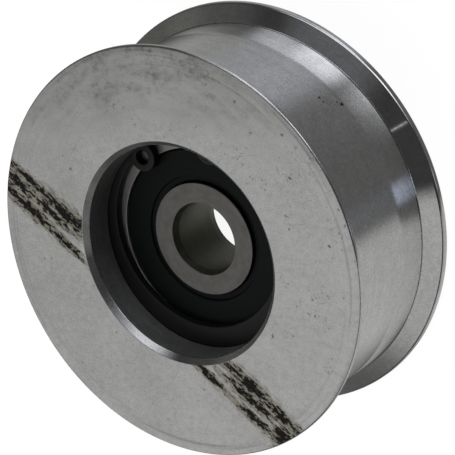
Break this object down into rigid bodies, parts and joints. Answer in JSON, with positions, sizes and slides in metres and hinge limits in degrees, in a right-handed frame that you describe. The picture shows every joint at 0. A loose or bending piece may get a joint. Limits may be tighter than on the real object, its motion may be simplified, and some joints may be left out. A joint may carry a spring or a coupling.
{
  "type": "v groove wheel",
  "caption": "Turned aluminium guide wheel with a flat-bottomed V groove between sloped flanges, running on a sealed ball bearing held in its recess by a retaining ring.",
  "frame": {"origin": "on the wheel's axis, at the middle of its rear face, on which it lies", "axes": "+Z along the axis towards the front face with the recess and the retaining ring; +X and +Y are radial"},
  "size_m": [0.071, 0.071, 0.0265],
  "materials": {
    "turned_aluminium": "turned and faced, dull silver grey with handling marks and a smear of old grease",
    "black_spring_steel": "phosphated and oiled black spring steel",
    "ground_bearing_steel": "ground and fine honed bearing steel",
    "seal_rubber": "moulded black nitrile rubber, satin",
    "seal_insert_steel": "cold rolled sheet steel",
    "cage_steel": "pressed sheet steel with a light oil film",
    "rivet_steel": "cold headed steel wire",
    "ball_steel": "lapped bearing steel"
  },
  "bodies": {
    "hub": {"bearing_inner_ring": "ground_bearing_steel"},
    "wheel": {"wheel_body": "turned_aluminium", "retaining_ring": "black_spring_steel", "bearing_outer_ring": "ground_bearing_steel", "front_seal": "seal_rubber", "front_seal_insert": "seal_insert_steel", "rear_seal": "seal_rubber", "rear_seal_insert": "seal_insert_steel"},
    "cage": {"cage_front_half": "cage_steel", "cage_rear_half": "cage_steel", "cage_rivets": "rivet_steel"},
    "ball_1": {"ball_1": "ball_steel"},
    "ball_2": {"ball_2": "ball_steel"},
    "ball_3": {"ball_3": "ball_steel"},
    "ball_4": {"ball_4": "ball_steel"},
    "ball_5": {"ball_5": "ball_steel"},
    "ball_6": {"ball_6": "ball_steel"}
  },
  "joints": [
    {"name": "wheel_spin", "type": "hinge", "parent": "hub", "child": "wheel", "pos_m": [0, 0, 0.0129], "axis": [0, 0, 1], "continuous": true},
    {"name": "cage_orbit", "type": "hinge", "parent": "hub", "child": "cage", "pos_m": [0, 0, 0.0129], "axis": [0, 0, 1], "continuous": true},
    {"name": "ball_1_spin", "type": "hinge", "parent": "cage", "child": "ball_1", "pos_m": [0.01225, 0, 0.0129], "axis": [0, 0, 1], "continuous": true},
    {"name": "ball_2_spin", "type": "hinge", "parent": "cage", "child": "ball_2", "pos_m": [0.00613, 0.01061, 0.0129], "axis": [0, 0, 1], "continuous": true},
    {"name": "ball_3_spin", "type": "hinge", "parent": "cage", "child": "ball_3", "pos_m": [-0.00613, 0.01061, 0.0129], "axis": [0, 0, 1], "continuous": true},
    {"name": "ball_4_spin", "type": "hinge", "parent": "cage", "child": "ball_4", "pos_m": [-0.01225, 0, 0.0129], "axis": [0, 0, 1], "continuous": true},
    {"name": "ball_5_spin", "type": "hinge", "parent": "cage", "child": "ball_5", "pos_m": [-0.00613, -0.01061, 0.0129], "axis": [0, 0, 1], "continuous": true},
    {"name": "ball_6_spin", "type": "hinge", "parent": "cage", "child": "ball_6", "pos_m": [0.00613, -0.01061, 0.0129], "axis": [0, 0, 1], "continuous": true}
  ],
  "couplings": [
    {"joint": "cage_orbit", "follows": "wheel_spin", "ratio": 0.662},
    {"joint": "ball_1_spin", "follows": "wheel_spin", "ratio": 1.3812},
    {"joint": "ball_2_spin", "follows": "wheel_spin", "ratio": 1.3812},
    {"joint": "ball_3_spin", "follows": "wheel_spin", "ratio": 1.3812},
    {"joint": "ball_4_spin", "follows": "wheel_spin", "ratio": 1.3812},
    {"joint": "ball_5_spin", "follows": "wheel_spin", "ratio": 1.3812},
    {"joint": "ball_6_spin", "follows": "wheel_spin", "ratio": 1.3812}
  ]
}
